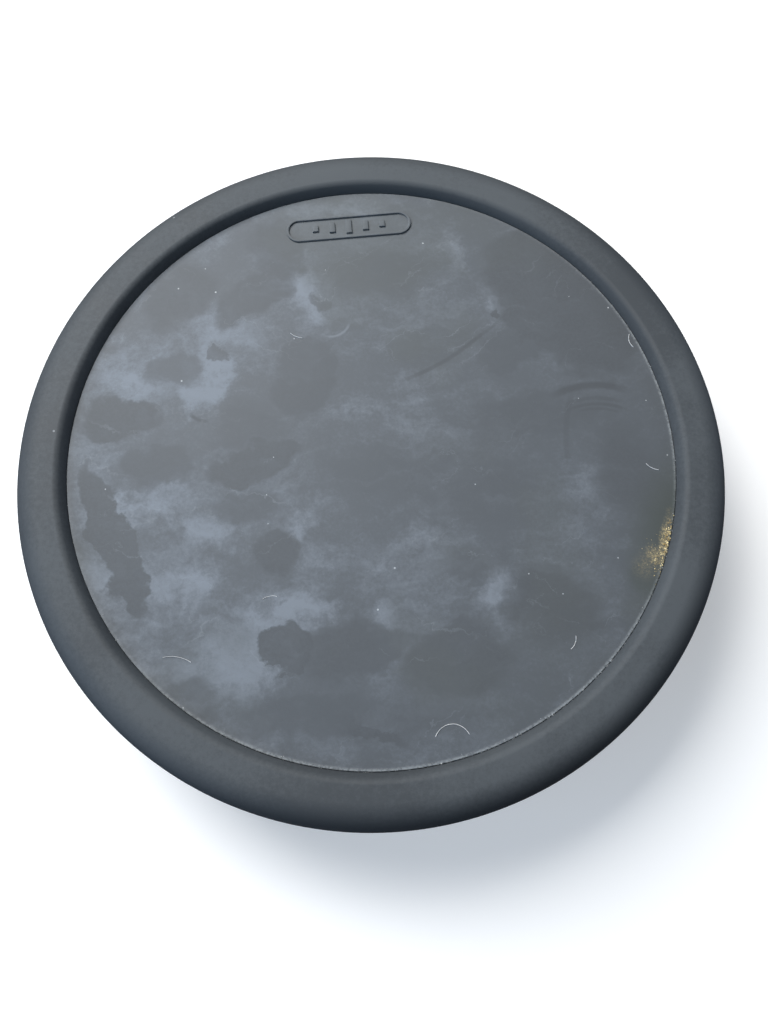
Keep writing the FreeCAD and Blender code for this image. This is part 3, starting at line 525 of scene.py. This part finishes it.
def turned_ring(section, steps, closed=True):
    """A ring about Z from its section, each corner rounded over its own length."""
    maker = bmesh.new()
    corners = [maker.verts.new((r, 0, z)) for r, z, _ in section]
    for here, there in zip(corners, corners[1:] + corners[:1] if closed else corners[1:]):
        maker.edges.new((here, there))
    for corner, (_, _, rounding) in zip(corners, section):
        if rounding:
            bmesh.ops.bevel(maker, geom=[corner], offset=rounding, offset_type="OFFSET",
                            affect="VERTICES", segments=12 if rounding > LARGE_ROUNDING else 4,
                            profile=0.5, material=-1)
    bmesh.ops.spin(maker, geom=maker.verts[:] + maker.edges[:], cent=(0, 0, 0), axis=(0, 0, 1),
                   angle=math.tau, steps=steps, use_merge=True)
    return maker


rim_rubber, tree, shader, place = started("rolled_rubber", Specular_IOR_Level=0.28)
cloudy = placed(tree, wander, place, Reach=0.03, Bends_Per_Metre=30.0)["Place"]
cloud = noise(tree, cloudy, 16.0, 4.0)
mottle = noise(tree, place, 800.0, 4.0, 0.75)
level = maths(tree, "MULTIPLY_ADD", maths(tree, "SUBTRACT", mottle, 0.5), 0.5, cloud)
tone = ramp(tree, level, (0.36, (0.053, 0.060, 0.067)), (0.66, (0.076, 0.086, 0.095)))

# Both steep sides are painted blacker than the crest, towards the outer edge and towards the seam:
# painted shade on the outer flank and the inner wall.
SHADED_STEEP_SIDES = (                     # radius where it starts, radius where it is strongest, strength
    (rim_high.x - ROLL_R, rim_high.x, 0.77), (inner_r + LIP_SET_BACK, inner_r, 0.30))
STEEP_SHADE_TONE = (0.024, 0.028, 0.033)
radius = from_axis(tree, place)[1]
for start, end, strength in SHADED_STEEP_SIDES:
    steep_shade = node(tree, "ShaderNodeMapRange", {"Value": radius, "From Min": start, "From Max": end,
                                              "To Min": 0.0, "To Max": strength}).outputs[0]
    tone = mixed(tree, steep_shade, tone, STEEP_SHADE_TONE)
dust = placed(tree, specks, place, Specks_Per_Metre=260.0, Rarity=0.955, Reach=0.10)["Mask"]
tone = mixed(tree, maths(tree, "MULTIPLY", dust, 0.45), tone, (0.36, 0.38, 0.40))
tree.links.new(tone, shader.inputs["Base Color"])
tree.links.new(ramp(tree, cloud, (0.35, 0.60), (0.65, 0.74)), shader.inputs["Roughness"])
skin = placed(tree, grain, place, Grain_Per_Metre=3200.0)["Height"]
bumped(tree, shader, skin, 0.2, 0.00007)
rolled_rim = finished("rolled_rim", turned_ring(section, RIM_STEPS), rim_rubber, "pad",
                      50)
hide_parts("rubber_rim")


# ---- Dust, soil and lint on the face ------------------------------------
# Dry grains that have gathered along the seam, a knot of tan soil at the right, and a few
# curled fibres. All lie loose on the rubber, held by static.
random.seed(7)
SEAM_GRAINS = 520                   # in the seam, most on the near right side
LARGE_GRAINS = 24
SOIL_CRUMBS = 150                   # against the rim
SOIL_FINES = 60                     # spread inwards
SEAM_DEPTH = 0.00015                # how far a grain in the seam lies below the face


def grains(spots, material, name):
    """Small rough lumps at (bearing, radius, height, size) spots."""
    maker = bmesh.new()
    for bearing, r, z, size in spots:
        squash = Vector((1, random.uniform(0.6, 1), random.uniform(0.5, 0.9))) * size
        turn = Matrix.Rotation(random.uniform(0, math.tau), 3, "Z").to_quaternion()
        bmesh.ops.create_icosphere(maker, subdivisions=1, radius=1.0, matrix=Matrix.LocRotScale(
            (r * math.cos(bearing), r * math.sin(bearing), z), turn, squash))
    return finished(name, maker, material, "pad", 20, recalculated=False)


def speckled(name, dark, light, scale, roughness=0.95):
    """A dry powdery or porous material between two tones."""
    material, tree, shader, place = started(name, Roughness=roughness, Specular_IOR_Level=0.2)
    spots = noise(tree, place, scale, 3.0)
    tree.links.new(ramp(tree, spots, (0.35, dark), (0.65, light)), shader.inputs["Base Color"])
    bumped(tree, shader, spots, 0.3, 0.0001)
    return material


spots = []
for _ in range(SEAM_GRAINS):
    bearing = math.radians(random.gauss(-62, 48))
    r = inner_r - abs(random.gauss(0, 0.0004)) + 0.00005
    z = play_z if r < play_r - DISC_EDGE else play_z - SEAM_DEPTH
    spots.append((bearing, r, z, random.uniform(0.00005, 0.00013)))
for _ in range(LARGE_GRAINS):
    bearing = math.radians(random.gauss(-68, 40))
    r = play_r - abs(random.gauss(0, 0.0006))
    spots.append((bearing, r, play_z, random.uniform(0.00014, 0.00024)))
grains(spots, speckled("grey_dust", (0.20, 0.21, 0.21), (0.52, 0.54, 0.55), 900.0), "seam_grains")
spots = []
for _ in range(SOIL_CRUMBS):
    along = random.gauss(0.0005, 0.0042)
    inward = abs(random.gauss(0, 0.0011)) + 0.0001
    spots.append((SOIL_BEARING + along / play_r, play_r - inward, play_z,
                  random.uniform(0.00008, 0.00030)))
for _ in range(SOIL_FINES):
    along = random.gauss(-0.004, 0.0035)
    inward = abs(random.gauss(0.003, 0.0022))
    spots.append((SOIL_BEARING + along / play_r, play_r - inward, play_z,
                  random.uniform(0.00005, 0.00014)))
grains(spots, speckled("tan_soil", (0.30, 0.22, 0.10), (0.72, 0.60, 0.34), 700.0), "soil_crumbs")

FIBRE_R = 0.00009
FIBRE_STEPS = 18
FIBRES = (                          # centre x, y, radius in mm, first bearing, sweep
    (14.0, -88.0, 5.2, 22, 132), (-64.5, -66.5, 10.5, 52, 46), (-17.5, 47.5, 6.5, 222, 38),
    (88.0, -9.5, 5.0, 210, 50), (-34.0, -46.5, 5.0, 70, 50), (90.2, 30.0, 4.0, 150, 70),
    (49.0, -62.0, 4.2, -60, 60),
)
fibres = bmesh.new()
for x, y, r, first, sweep in FIBRES:
    end = bmesh.new()
    upright = Matrix.Translation((r / 1000, 0, 0)) @ Matrix.Rotation(math.pi / 2, 4, "X")
    bmesh.ops.create_circle(end, cap_ends=True, segments=6, radius=FIBRE_R, matrix=upright)
    bmesh.ops.spin(end, geom=end.verts[:] + end.edges[:] + end.faces[:], cent=(0, 0, 0),
                   axis=(0, 0, 1), angle=math.radians(sweep), steps=FIBRE_STEPS, use_duplicate=False)
    laid = Matrix.Translation((x / 1000, y / 1000, play_z + FIBRE_R))
    bmesh.ops.transform(end, verts=end.verts,
                        matrix=laid @ Matrix.Rotation(math.radians(first), 4, "Z"))
    added(fibres, end)
pale_lint = speckled("pale_lint", (0.52, 0.53, 0.54), (0.74, 0.75, 0.76), 300.0)
finished("lint_fibres", fibres, pale_lint, "pad", 60)


# ---- Vibration sensor ---------------------------------------------------
# A silvered ceramic disc on a thin brass disc, which a white foam tape holds under the plate.
dress("piezo_brass", plated("sheet_brass", (0.66, 0.48, 0.20), (0.84, 0.66, 0.32),
                            roughness=(0.24, 0.42), streaks_per_metre=1500.0))
dress("piezo_ceramic",
      speckled("silvered_ceramic", (0.60, 0.60, 0.58), (0.78, 0.78, 0.76), 1200.0, 0.5))
dress("sensor_tape", speckled("tape_foam", (0.62, 0.62, 0.60), (0.80, 0.80, 0.78), 2600.0))


# ---- Leads --------------------------------------------------------------
# Two stranded leads in soft plastic insulation, red and black, tinned and soldered at both
# ends, and held down by a nylon saddle.
def insulated(name, dark, light):
    """Soft shiny lead insulation: two near tones, and a faintly lumpy skin."""
    material, tree, shader, place = started(name, Specular_IOR_Level=0.5)
    lumps = noise(tree, place, 420.0, 3.0)
    tree.links.new(ramp(tree, lumps, (0.35, dark), (0.65, light)), shader.inputs["Base Color"])
    tree.links.new(ramp(tree, lumps, (0.30, 0.30), (0.70, 0.44)), shader.inputs["Roughness"])
    bumped(tree, shader, lumps, 0.15, 0.00005)
    return material


dress("lead_red", insulated("red_insulation", (0.42, 0.018, 0.014), (0.56, 0.030, 0.022)))
dress("lead_black", insulated("black_insulation", (0.014, 0.014, 0.015), (0.024, 0.024, 0.026)))
dress("lead_clip", insulated("natural_nylon", (0.60, 0.58, 0.52), (0.72, 0.70, 0.64)))
dress("solder_joints", plated("solder", (0.52, 0.53, 0.54), (0.72, 0.73, 0.74),
                              roughness=(0.18, 0.38), streaks_per_metre=1800.0))


# ---- Foam ring ----------------------------------------------------------
# Ring of closed-cell foam, punched from sheet, squeezed between the plate and the shell so
# that its two sides belly out. It keeps the shell from buzzing.
FOAM_WIDTH = 0.007
FOAM_STEPS = 192
FOAM_BELLY = 0.0012                 # rounding that the squeeze gives its four corners
closed_cell, tree, shader, place = started("closed_cell_foam", Roughness=0.92, Specular_IOR_Level=0.2)
pores = node(tree, "ShaderNodeTexVoronoi", {"Vector": place, "Scale": 2200.0}).outputs["Distance"]
cloud = noise(tree, place, 120.0, 4.0)
tone = ramp(tree, cloud, (0.35, (0.030, 0.031, 0.033)), (0.65, (0.052, 0.053, 0.055)))
# Painted shade: the pore hollows are painted near black.
tree.links.new(mixed(tree, ramp(tree, pores, (0.10, 0.6), (0.45, 0.0)), tone, (0.012, 0.012, 0.013)),
               shader.inputs["Base Color"])
bumped(tree, shader, pores, 0.6, 0.0002)
foam_section = [(r, z, FOAM_BELLY) for r, z in (
    (foam_high.x - FOAM_WIDTH, foam_low.z), (foam_high.x, foam_low.z),
    (foam_high.x, foam_high.z), (foam_high.x - FOAM_WIDTH, foam_high.z))]
foam_gasket = finished("foam_gasket", turned_ring(foam_section, FOAM_STEPS), closed_cell, "pad",
                       50)
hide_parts("foam_ring")


# ---- Base shell ---------------------------------------------------------
# Flat shell of black ABS with a bead, ribs and bosses, moulded with a fine spark-eroded skin.
# Carrying and putting down has left pale rubbing on what stands lowest, and thin scratches.
shell_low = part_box("base_shell")[0]

# Rubbing below a height, broken up by the skin.
rubbed, into, out = effect("rubbed_low", {"Rub Height": 0.0, "Rub Reach": 0.001}, ["Mask"])
height = node(rubbed, "ShaderNodeSeparateXYZ", {"Vector": into["Place"]}).outputs["Z"]
low_down = node(rubbed, "ShaderNodeMapRange", {
    "Value": height, "From Min": into["Rub Height"],
    "From Max": maths(rubbed, "ADD", into["Rub Height"], into["Rub Reach"]),
    "To Min": 1.0, "To Max": 0.0}).outputs[0]
broken = ramp(rubbed, noise(rubbed, into["Place"], 55.0, 9.0, 0.72), (0.46, 0.0), (0.74, 1.0))
rubbed.links.new(maths(rubbed, "MULTIPLY", low_down, broken), out["Mask"])


def moulded(name, dark, light, roughness, grain_per_metre, rub_height, rub_reach, rub_tone,
            grain_depth=0.00006):
    """Moulded plastic or rubber: cloudy tone, eroded skin, pale rubbing low down, thin scratches."""
    material, tree, shader, place = started(name, Specular_IOR_Level=0.42)
    cloud = noise(tree, place, 48.0, 5.0, 0.6)
    tone = ramp(tree, cloud, (0.35, dark), (0.65, light))
    rub = placed(tree, rubbed, place, Rub_Height=rub_height, Rub_Reach=rub_reach)["Mask"]
    tone = mixed(tree, maths(tree, "MULTIPLY", rub, 0.6), tone, rub_tone)
    for bearing in (0.6, 2.3):
        thin = placed(tree, scratches, place, Bearing=bearing, Rarity=0.735)["Mask"]
        tone = mixed(tree, maths(tree, "MULTIPLY", thin, 0.22), tone, rub_tone)
    specked = placed(tree, specks, place, Specks_Per_Metre=240.0, Rarity=0.965, Reach=0.10)["Mask"]
    tone = mixed(tree, maths(tree, "MULTIPLY", specked, 0.5), tone, (0.34, 0.34, 0.33))
    tree.links.new(tone, shader.inputs["Base Color"])
    rough = ramp(tree, cloud, (0.32, roughness[0]), (0.68, roughness[1]))
    tree.links.new(maths(tree, "MULTIPLY_ADD", rub, 0.18, rough), shader.inputs["Roughness"])
    skin = placed(tree, grain, place, Grain_Per_Metre=grain_per_metre)["Height"]
    bumped(tree, shader, skin, 0.3, grain_depth)
    return material


dress("base_shell", moulded("shell_abs", (0.017, 0.018, 0.019), (0.028, 0.029, 0.031),
                            roughness=(0.46, 0.60), grain_per_metre=2600.0,
                            rub_height=shell_low.z, rub_reach=0.0005, rub_tone=(0.075, 0.077, 0.080)))


# ---- Shell screws -------------------------------------------------------
# Six pan-head machine screws, steel, black zinc, driven up through the shell into the standoffs.
black_zinc = plated("black_zinc", (0.045, 0.046, 0.050), (0.085, 0.086, 0.092),
                    roughness=(0.28, 0.44), streaks_per_metre=2400.0)
dress("shell_screws", black_zinc)


# ---- Jack ---------------------------------------------------------------
# Boxed jack for a 6.35 mm plug: a black housing with two nickel-silver springs, a threaded
# bushing of nickel-plated brass, and the washer and nut that hold it in the cover.
THREAD_PITCH = 0.001
TURN_STEPS = 28                     # steps in one turn of a thread
bush_low, bush_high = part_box("jack_bushing")
bush_x, bush_z = (bush_low.x + bush_high.x) / 2, (bush_low.z + bush_high.z) / 2
bush_r = (bush_high.x - bush_low.x) / 2
PLUG_R = 0.00325
THREAD_DEPTH = 0.00045
FLANK_SHARE = 0.42                  # of the pitch that each flank of a thread takes
THREAD_SINK = 1.15                  # the ridge's foot reaches this share of its depth, into the core
BUSH_STEPS = 56
nickel = plated("nickel_plate", (0.60, 0.58, 0.54), (0.78, 0.76, 0.71),
                roughness=(0.14, 0.28), streaks_per_metre=2000.0)
UNRUBBED = -1.0                     # a rub height that no surface comes down to
dress("jack_body", moulded("jack_housing", (0.014, 0.014, 0.015), (0.022, 0.022, 0.024),
                           roughness=(0.34, 0.48), grain_per_metre=3200.0,
                           rub_height=UNRUBBED, rub_reach=0.001, rub_tone=(0.06, 0.06, 0.06)))
nickel_silver = plated("nickel_silver", (0.56, 0.54, 0.47), (0.72, 0.70, 0.62),
                       roughness=(0.20, 0.34), streaks_per_metre=1600.0)
dress("jack_tip_contact", nickel_silver)
dress("jack_sleeve_contact", nickel_silver)
dress("jack_washer", nickel)
dress("jack_nut", nickel)


def threaded(core, radius, depth, first, last):
    """Adds a thread's ridge about Z, its crest at the radius, between two heights, to a turned core."""
    ridge = bmesh.new()
    rise = THREAD_PITCH * FLANK_SHARE
    sunk_r = radius - depth * THREAD_SINK
    ridge.faces.new([ridge.verts.new(place) for place in (
        (sunk_r, 0, first), (radius, 0, first + rise), (sunk_r, 0, first + 2 * rise))])
    turns = (last - first - 2 * rise) / THREAD_PITCH
    steps = round(turns * TURN_STEPS)
    bmesh.ops.spin(ridge, geom=ridge.verts[:] + ridge.edges[:] + ridge.faces[:], cent=(0, 0, 0),
                   axis=(0, 0, 1), dvec=(0, 0, turns * THREAD_PITCH / steps),
                   angle=math.tau * turns, steps=steps, use_duplicate=False)
    added(core, ridge)


bush_length = bush_high.y - bush_low.y
root_r = bush_r - THREAD_DEPTH
bushing = turned_ring(((PLUG_R, 0, 0), (root_r, 0, 0.0003), (root_r, bush_length, 0.0005),
                       (PLUG_R, bush_length, 0.0004)), BUSH_STEPS)
threaded(bushing, bush_r, THREAD_DEPTH, 0.0001, bush_length - 0.0006)
bmesh.ops.transform(bushing, verts=bushing.verts, matrix=Matrix.Translation(
    (bush_x, bush_low.y, bush_z)) @ Matrix.Rotation(-math.pi / 2, 4, "X"))
threaded_bushing = finished("threaded_bushing", bushing, nickel, "pad", 30)
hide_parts("jack_bushing")


# ---- Pod cover ----------------------------------------------------------
# Tub of the same ABS that houses the jack and the leads, screwed up to the shell by its four
# ears. It is the lowest wall of the pad, so it is rubbed the most.
pod_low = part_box("pod_cover")[0]
dress("pod_cover", moulded("pod_abs", (0.018, 0.019, 0.020), (0.029, 0.030, 0.032),
                           roughness=(0.44, 0.60), grain_per_metre=2600.0,
                           rub_height=pod_low.z, rub_reach=0.0016, rub_tone=(0.085, 0.087, 0.090)))
dress("pod_screws", black_zinc)


# ---- Rod clamp ----------------------------------------------------------
# Block of glass-filled nylon with the rod's bore, screwed up to the shell. A square nut sits in
# its slot, and a steel jaw with a hollow face closes on the rod.
block_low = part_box("clamp_block")[0]
dress("clamp_block", moulded("filled_nylon", (0.024, 0.025, 0.026), (0.042, 0.043, 0.045),
                             roughness=(0.52, 0.68), grain_per_metre=1900.0, grain_depth=0.0001,
                             rub_height=block_low.z, rub_reach=0.0018, rub_tone=(0.10, 0.10, 0.10)))
dress("clamp_screws", black_zinc)
dress("clamp_nut", bright_zinc)
dress("clamp_jaw", plated("jaw_steel", (0.40, 0.40, 0.41), (0.58, 0.58, 0.60),
                          roughness=(0.26, 0.42), streaks_per_metre=1400.0))


# ---- Wing bolt ----------------------------------------------------------
# Steel bolt with a coarse thread and a turned-down point, bright zinc plated. A two-winged
# grip of black nylon is moulded round its outer end.
bolt_low, bolt_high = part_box("wing_bolt")
bolt_y, bolt_z = (bolt_low.y + bolt_high.y) / 2, (bolt_low.z + bolt_high.z) / 2
bolt_r = (bolt_high.y - bolt_low.y) / 2
bolt_length = bolt_high.x - bolt_low.x
DOG_R = 0.002                       # turned-down point
BOLT_DOG = 0.0021                   # its length
BOLT_STEPS = 40
root_r = bolt_r - THREAD_DEPTH
bolt = turned_ring(((0, 0, 0), (DOG_R, 0, 0.0003), (DOG_R, BOLT_DOG, 0.0001),
                    (root_r, BOLT_DOG + 0.0004, 0.0001), (root_r, bolt_length, 0.0002),
                    (0, bolt_length, 0)), BOLT_STEPS, closed=False)
threaded(bolt, bolt_r, THREAD_DEPTH, BOLT_DOG + 0.0002, bolt_length - 0.0001)
bmesh.ops.transform(bolt, verts=bolt.verts, matrix=Matrix.Translation(
    (bolt_low.x, bolt_y, bolt_z)) @ Matrix.Rotation(math.pi / 2, 4, "Y"))
threaded_bolt = finished("threaded_bolt", bolt, bright_zinc, "wing", 30)
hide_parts("wing_bolt")
dress("wing_grip", moulded("grip_nylon", (0.020, 0.021, 0.022), (0.034, 0.035, 0.037),
                           roughness=(0.34, 0.50), grain_per_metre=2200.0,
                           rub_height=UNRUBBED, rub_reach=0.001, rub_tone=(0.08, 0.08, 0.08)))


# ---- Rubber feet --------------------------------------------------------
# Five round feet of soft black rubber, pressed into the pod cover and the clamp block, with
# grey dust worked into their lower faces.
feet_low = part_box("rubber_feet")[0]
dress("rubber_feet", moulded("foot_rubber", (0.020, 0.020, 0.020), (0.034, 0.034, 0.034),
                             roughness=(0.72, 0.86), grain_per_metre=1500.0, grain_depth=0.00012,
                             rub_height=feet_low.z, rub_reach=0.0009, rub_tone=(0.17, 0.17, 0.165)))


# ---- Floor, light and camera --------------------------------------------
# Plain pale floor under a large soft key light from the far left, with weak cool fills from
# the left and the right. The floor looks evenly pale to the camera, but gives the pad little light.
FLOOR_SIZE = 3.0
LENS = 27                           # mm, on a sensor 36 mm wide
SENSOR = 36
CAMERA_PLACE = (-0.0064, -0.0803)
CAMERA_HEIGHT = 0.2240              # above the playing face
CAMERA_TURN = (15.34, -0.444, -5.872)
floor_paint, tree, shader, _ = started("pale_floor", Roughness=0.9, Specular_IOR_Level=0.0)
seen = node(tree, "ShaderNodeLightPath").outputs["Is Camera Ray"]
tree.links.new(mixed(tree, seen, (0.13, 0.13, 0.135), (0.72, 0.72, 0.72)), shader.inputs["Base Color"])
tree.links.new(mixed(tree, seen, (0.0, 0.0, 0.0), (0.34, 0.345, 0.35)), shader.inputs["Emission Color"])
shader.inputs["Emission Strength"].default_value = 1.0
floor_maker = bmesh.new()
bmesh.ops.create_grid(floor_maker, x_segments=1, y_segments=1, size=FLOOR_SIZE)
finished("floor", floor_maker, floor_paint, None)

world = bpy.data.worlds.new("studio")
world.use_nodes = True
seen = node(world.node_tree, "ShaderNodeLightPath").outputs["Is Camera Ray"]
world.node_tree.links.new(mixed(world.node_tree, seen, (0.126, 0.140, 0.158), (0.80, 0.82, 0.84)),
                          world.node_tree.nodes["Background"].inputs["Color"])
bpy.context.scene.world = world


def soft_light(name, bearing, height, distance, size, watts, colour):
    """A square area light that faces the pad from a bearing and a height, both in degrees."""
    around, up = math.radians(bearing), math.radians(height)
    place = distance * Vector((
        math.cos(around) * math.cos(up), math.sin(around) * math.cos(up), math.sin(up)))
    light = bpy.data.lights.new(name, "AREA")
    light.size = size
    light.energy = watts
    light.color = colour
    lamp = bpy.data.objects.new(name, light)
    lamp.location = place
    lamp.rotation_euler = (-place).to_track_quat("-Z", "Y").to_euler()
    bpy.context.scene.collection.objects.link(lamp)


soft_light("key", 125, 50, 1.1, 0.6, 18.0, (1.0, 0.99, 0.97))
soft_light("left_sky", 202, 22, 0.9, 0.6, 4.1, (0.52, 0.73, 1.0))
soft_light("right_fill", 12, 13, 0.9, 0.5, 1.9, (0.66, 0.80, 1.0))

camera = bpy.data.objects.new("camera", bpy.data.cameras.new("camera"))
camera.data.lens = LENS
camera.data.sensor_width = SENSOR
camera.data.clip_start = 0.01
camera.location = (*CAMERA_PLACE, play_z + CAMERA_HEIGHT)
camera.rotation_euler = [math.radians(turn) for turn in CAMERA_TURN]
bpy.context.scene.collection.objects.link(camera)
bpy.context.scene.camera = camera
bpy.context.scene.view_settings.view_transform = "Standard"
